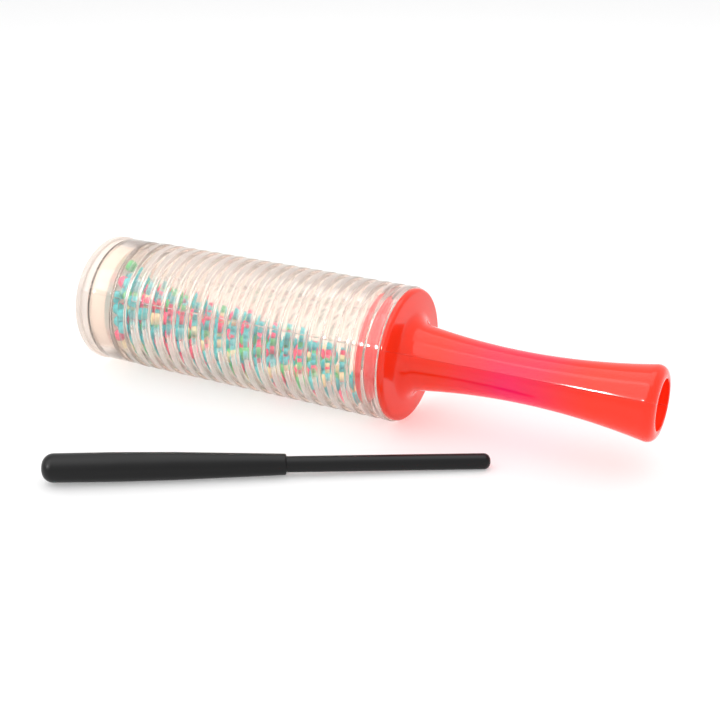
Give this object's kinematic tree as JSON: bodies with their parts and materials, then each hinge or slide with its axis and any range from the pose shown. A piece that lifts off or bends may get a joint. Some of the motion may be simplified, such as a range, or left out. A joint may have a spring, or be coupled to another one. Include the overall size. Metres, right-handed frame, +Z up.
{
  "type": "ribbed shaker with beater",
  "caption": "Clear ribbed hand shaker filled with coloured beads, with a hollow grip handle and a separate beater to scrape the ribs.",
  "frame": {"origin": "centre of the end cap's outer face, on the barrel's axis, at the mouth of the cap's recess", "axes": "+X along the barrel's axis from the cap to the handle's open mouth, +Z up when the shaker lies on a table"},
  "size_m": [0.271, 0.1546, 0.06],
  "materials": {
    "clear_plastic": "clear gloss",
    "coral_plastic": "translucent gloss",
    "bead_plastic": "gloss, mixed colours",
    "black_plastic": "satin"
  },
  "bodies": {
    "shaker": {"barrel": "clear_plastic", "end_cap": "clear_plastic", "handle": "coral_plastic"},
    "beads": {"bead_heap": "bead_plastic"},
    "beater": {"beater_grip": "black_plastic", "beater_rod": "black_plastic"}
  },
  "joints": [
    {"name": "beads_tumble", "type": "hinge", "parent": "shaker", "child": "beads", "pos_m": [0.0812, 0, 0], "axis": [1, 0, 0], "continuous": true},
    {"name": "beater_lift", "type": "slide", "parent": "shaker", "child": "beater", "axis": [0, 0, 1], "range_m": [0, 0.15]}
  ]
}
